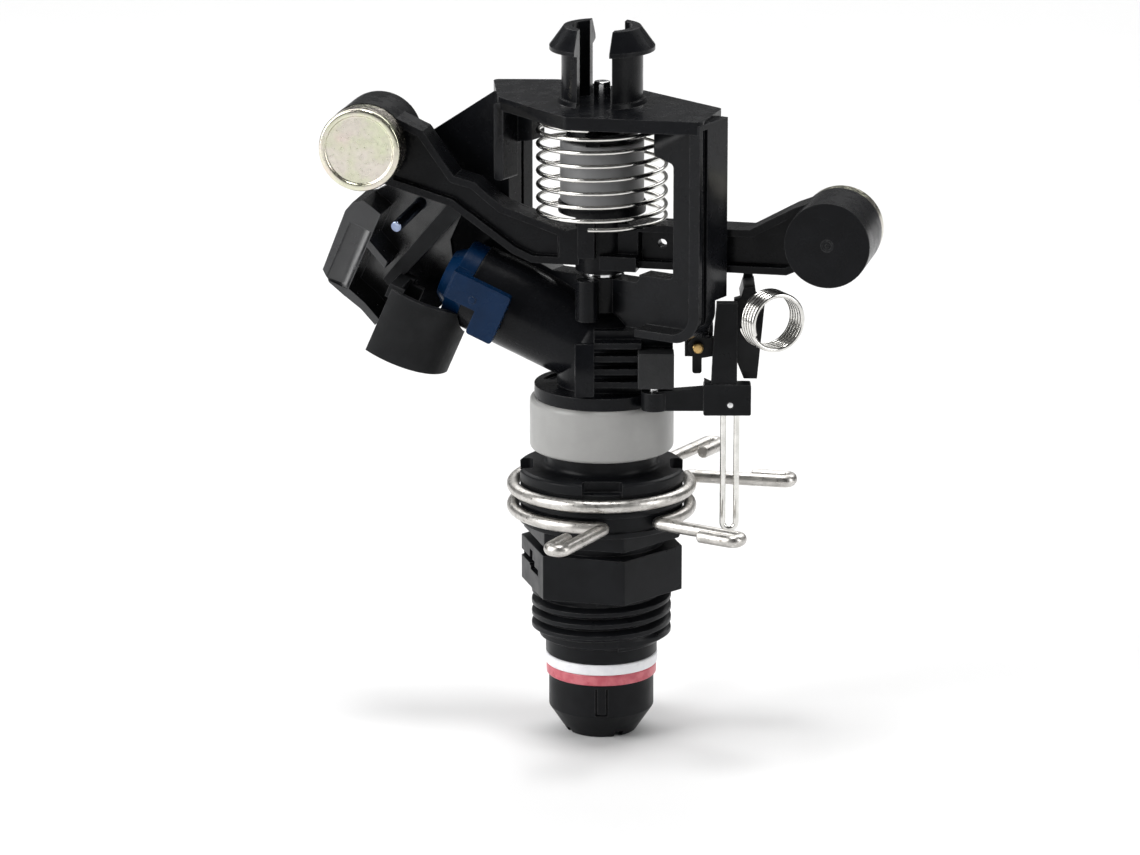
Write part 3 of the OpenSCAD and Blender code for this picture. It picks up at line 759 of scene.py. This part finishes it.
def bridge():
    """Waterway, barrel and bridge in one moulding, with its rough block beside the barrel."""
    piece("bridge_moulding", "rotor", "black_body", from_cad("bridge_body", 0.22), ["bridge_body"])
    rough_block = moved(block(5.3, 10.7, -11.48, -8, 33.55, 39.05, 0.25), TRIP)
    piece("rough_block", "rotor", "black_body", rough_block, look="black_textured")
    piece("rib_strap", "rotor", "black_body", from_cad("latch_strap", 0.15), ["latch_strap"])


def pivot():
    low, top = heights("fulcrum_pin")
    piece("pivot_pin", "rotor", "pin_steel", rod(PIVOT_R, low, top, 0.35), ["fulcrum_pin"])
    low, top = heights("pivot_washer")
    ring = washer(3, PIVOT_R + 0.05, low, top, 0.12)
    piece("hub_washer", "rotor", "pin_steel", ring, ["pivot_washer"])


# ---- nozzle ----


def nozzle():
    bm = from_cad("nozzle", 0.28, 3)
    dot = moved(rod(0.55, 0, 0.22, 0.1, 24), BARREL, shift(19.9, 8.45, 0.5), Matrix.Rotation(-pi / 2, 4, "X"))
    piece("jet_nozzle", "nozzle", "nozzle_blue", joined(bm, dot), ["nozzle"])
    seat = BARREL_LEN - 8.2
    seal = moved(washer(4.95, 3.9, seat, seat + 1.1, 0.2), BARREL, ALONG_X)
    piece("bore_seal", "rotor", "seal_rubber", seal, ["nozzle_seal"])


# ---- impact arm ----

LEFT_WEIGHT = (-35.8, 67.2)
RIGHT_WEIGHT = (35.4, 56.2)
WEIGHT_R = 6.4
WEIGHT_LEN = 13.5
ARM_SPRING_R = 9.6
ARM_COILS = 8
ARM_WIRE_R = 0.33


def weight(name, node, at, face_y, side):
    """Steel slug with a proud rounded rim and a slightly dished face."""
    head = WEIGHT_LEN / 2 - abs(face_y)
    r = WEIGHT_R - 0.1
    slug = WEIGHT_R - 1.05
    back = head - WEIGHT_LEN + 1.9
    dish = head - 0.28
    bm = lathe(rounded([
        (0, back), (slug, back, 0.3), (slug, 0.02, 0.05), (r, 0.02, 0.2), (r, head, 0.55),
        (r - 1.0, head, 0.3), (r - 1.15, dish, 0.25), (0, dish),
    ], 5), 128)
    place = shift(at[0], face_y, at[1]) @ Matrix.Rotation(side * pi / 2, 4, "X")
    piece(name, "arm", "plated_steel", moved(bm, place), [node])


def weights():
    weight("left_slug", "left_weight", LEFT_WEIGHT, -2.6, 1)
    weight("right_slug", "right_weight", RIGHT_WEIGHT, 4.1, -1)


def gate_mark(at, y, radius=0.9):
    """Small sunk mark left by the mould's gate: a ring and a nib."""
    ring = washer(radius, radius - 0.22, -0.06, 0.09, 0.05, 32)
    nib = rod(0.28, -0.06, 0.12, 0.06, 16)
    return moved(joined(ring, nib), shift(at[0], y, at[1]), Matrix.Rotation(pi / 2, 4, "X"))


def impact_arm():
    bm = from_cad("impact_arm", 0.24)
    mark = gate_mark(RIGHT_WEIGHT, -WEIGHT_LEN / 2 + 0.02)
    piece("arm_moulding", "arm", "black_arm", joined(bm, mark), ["impact_arm"])
    piece("bearing_sleeve_grey", "arm", "bearing_grey", from_cad("arm_bearing", 0.35, 3), ["arm_bearing"])
    piece("bearing_cap_black", "arm", "black_arm", from_cad("bearing_cap", 0.2), ["bearing_cap"])


def arm_spring():
    low, top = heights("arm_spring")
    first, last = low + ARM_WIRE_R, top - ARM_WIRE_R
    path = coil(ARM_SPRING_R, first, last, ARM_COILS, -pi / 2, 56, 0.6, ARM_WIRE_R + 0.06)
    bm = tube(path, ARM_WIRE_R, 14)
    spring = piece("return_spring", None, "spring_steel", bm, ["arm_spring"], flatten=False)
    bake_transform(spring)


def spoon_and_bucket():
    piece("jet_spoon", "arm", "spoon_black", from_cad("drive_spoon", 0.25, 3), ["drive_spoon"])
    piece("splash_cup", "arm", "bucket_black", from_cad("splash_bucket", 0.18, 3), ["splash_bucket"])
    across_spoon = (
        BARREL @ shift(34.4, -2.6, 7.1) @ Matrix.Rotation(radians(-5.2), 4, "Z")
        @ Matrix.Rotation(radians(-104.6), 4, "X")
    )
    bm = moved(rod(0.87, -1, 9.1, 0.22, 32), across_spoon)
    piece("deflector_rod", "arm", "deflector_steel", bm, ["deflector_pin"])


# ---- trip mechanism ----

CLEVIS = (19.1, 31.1)
LOOP_R = 1.0
LOOP_WIRE_R = 0.45
LOOP_BOTTOM = 11.6
REVERSE = (14.3, 39.1)
TRIP_COIL = (25.2, 44.4)
TRIP_COIL_R = 4.2
TRIP_COIL_WIRE_R = 0.36
TRIP_COILS = 5
FINGER_Z = 47.6
FINGER_DROP = 0.15


def trip_pin():
    """Long closed wire loop that hangs on the lever's pivot."""
    path = []
    for centre, start in ((CLEVIS[1], 0), (LOOP_BOTTOM + LOOP_R, 180)):
        for k in range(13):
            a = radians(start + 15 * k)
            path.append(Vector((CLEVIS[0] + LOOP_R * cos(a), LEVER_Y, centre + LOOP_R * sin(a))))
    path.append(path[0])
    bm = moved(tube(path, LOOP_WIRE_R, 20, 0.0), TRIP)
    piece("trip_pin_loop", "trip_pin", "spring_steel", bm, ["trip_pin"], flatten=False)


def trip_levers():
    piece("trip_bracket", "trip_lever", "lever_black", from_cad("trip_lever", 0.2), ["trip_lever"])
    plate = from_cad("reversing_lever", 0.18)
    for vertex in plate.verts:
        if vertex.co.z > FINGER_Z:
            vertex.co.z -= FINGER_DROP
    piece("reversing_plate", "reversing_lever", "reversing_black", plate, ["reversing_lever"])
    pin = rod(0.5, -1.3, 1.3, 0.12, 24)
    pin = moved(pin, TRIP, shift(CLEVIS[0], LEVER_Y, CLEVIS[1]), UPRIGHT)
    piece("clevis_pin", "trip_lever", "pin_steel", pin, ["trip_pivot"])
    low, top = heights("lever_pin")
    pin = moved(rod(0.8, low, top, 0.2, 32), TRIP, shift(*LEVER_PIN, 0))
    piece("lever_hinge_pin", "rotor", "pin_steel", pin, ["lever_pin"])
    shank = rod(0.7, 4.4, 8.2, 0.1, 32)
    head = rod(0.85, 7.7, 8.6, 0.3, 32)
    pin = moved(joined(shank, head), TRIP, shift(REVERSE[0], 0, REVERSE[1]), UPRIGHT)
    piece("brass_rivet", "rotor", "brass", pin, ["reversing_pin"])


def trip_spring():
    """Torsion spring whose coils sit askew, with one short tail hooked on the lever's edge."""
    pitch = 2 * TRIP_COIL_WIRE_R + 0.08
    length = TRIP_COILS * pitch
    askew = Matrix.Rotation(radians(26), 4, "Z")
    place = shift(TRIP_COIL[0], LEVER_Y - 2.3, TRIP_COIL[1]) @ askew @ UPRIGHT @ shift(0, 0, -length / 2)
    loops = coil(TRIP_COIL_R, 0, length, TRIP_COILS, radians(200), 48, 0, TRIP_COIL_WIRE_R)
    rings = [place @ point for point in loops]
    edge = Vector((20.8, LEVER_Y, rings[0].z - 0.3))
    tail = [edge, edge + Vector((0, -0.6, 0.1)), edge + Vector((0, -1.2, 0.2))]
    bm = moved(tube(tail + rings, TRIP_COIL_WIRE_R, 16), TRIP)
    piece("trip_torsion_spring", "trip_lever", "spring_steel", bm, ["trip_spring"], flatten=False)


# ---- studio ----

# Name, azimuth, elevation, distance, size and radiance, in degrees and metres. Azimuth 0 is the camera's side
LAMPS = (
    ("key_left", -66, 24, 0.6, (0.34, 0.5), 5.8),
    ("fill_right", 66, 18, 0.65, (0.24, 0.45), 4.2),
    ("ceiling", 0, 88, 1.1, (0.3, 0.3), 22.0),
    ("back_panel", 180, 47, 1.4, (2.6, 0.9), 2.9),
)
WORLD_STRENGTH = 0.11
CAMERA_LENS = 173.7
CAMERA_RISE = radians(15.2)
CAMERA_DISTANCE = 0.833
TARGET_LEFT = 4.8
TARGET_Z = 24.6

def toward(turn, rise):
    """Direction from the object, turned about Z from the front and raised."""
    return Vector((sin(turn) * cos(rise), -cos(turn) * cos(rise), sin(rise)))


def lamp(name, azimuth, elevation, distance, size, radiance, centre):
    """Softbox of a given radiance, aimed at the centre."""
    light = bpy.data.lights.new(name, "AREA")
    light.shape = "RECTANGLE"
    light.size, light.size_y = size
    light.energy = radiance * pi * size[0] * size[1]
    obj = bpy.data.objects.new(name, light)
    back = toward(VIEW_TURN + radians(azimuth), radians(elevation))
    obj.location = centre + back * distance
    obj.rotation_euler = (-back).to_track_quat("-Z", "Y").to_euler()
    bpy.context.scene.collection.objects.link(obj)


def floor():
    """Large pale sheet under the object."""
    reach = 4.0
    z = cad_low.z
    mesh = bpy.data.meshes.new("floor")
    corners = [(x * reach, y * reach, z) for x, y in ((-1, -1), (1, -1), (1, 1), (-1, 1))]
    mesh.from_pydata(corners, [], [(0, 1, 2, 3)])
    obj = bpy.data.objects.new("floor", mesh)
    bpy.context.scene.collection.objects.link(obj)
    paper = Surface("floor_paper", 0.85).patches((0.78, 0.78, 0.78), (0.785, 0.785, 0.785), 80.0)
    mesh.materials.append(paper.uneven_gloss(0.03, 20.0).grain(0.01, 1.5).done())


def studio():
    """Pale floor, soft lights and the camera."""
    scene = bpy.context.scene
    floor()
    world = bpy.data.worlds.new("studio")
    scene.world = world
    world.use_nodes = True
    background = world.node_tree.nodes["Background"]
    background.inputs["Color"].default_value = (1, 1, 1, 1)
    background.inputs["Strength"].default_value = WORLD_STRENGTH

    centre = (cad_low + cad_high) / 2
    for values in LAMPS:
        lamp(*values, centre)

    camera = bpy.data.cameras.new("camera")
    camera.sensor_width = 36
    camera.lens = CAMERA_LENS
    target = Vector((-TARGET_LEFT * cos(VIEW_TURN), -TARGET_LEFT * sin(VIEW_TURN), TARGET_Z)) * MM
    eye = bpy.data.objects.new("camera", camera)
    eye.location = target + toward(VIEW_TURN, CAMERA_RISE) * CAMERA_DISTANCE
    eye.rotation_euler = (pi / 2 - CAMERA_RISE, 0, VIEW_TURN)
    camera.clip_start, camera.clip_end = 0.01, 20
    scene.collection.objects.link(eye)
    scene.camera = eye
    scene.view_settings.view_transform = "Standard"


def main():
    studio()
    for build in (
        bearing_sleeve, washers, nose_retainer, bearing_nipple, bearing_spring, bearing_cover, trip_collars,
        bridge, pivot, nozzle, impact_arm, weights, arm_spring, spoon_and_bucket, trip_pin, trip_levers,
        trip_spring,
    ):
        build()


main()
